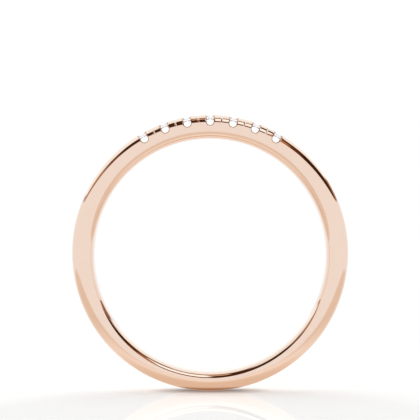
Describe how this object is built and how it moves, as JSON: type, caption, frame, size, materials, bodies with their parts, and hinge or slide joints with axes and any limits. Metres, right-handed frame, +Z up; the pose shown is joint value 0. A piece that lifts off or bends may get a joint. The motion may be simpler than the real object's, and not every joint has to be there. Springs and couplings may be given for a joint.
{
  "type": "wedding band",
  "caption": "Low domed finger band in polished rose gold with a row of small round brilliants held by claws in slots across the top",
  "frame": {"origin": "centre of the finger bore, on its axis, half way across the band", "axes": "+Y along the bore axis, +Z up towards the middle stone, +X completes a right-handed frame"},
  "size_m": [0.0206, 0.002, 0.0205],
  "materials": {
    "rose_gold": "mirror polished rose gold",
    "diamond": "clear faceted brilliant cut"
  },
  "bodies": {
    "root": {"band": "rose_gold", "diamond_1": "diamond", "diamond_2": "diamond", "diamond_3": "diamond", "diamond_4": "diamond", "diamond_5": "diamond", "diamond_6": "diamond", "diamond_7": "diamond"}
  },
  "joints": []
}
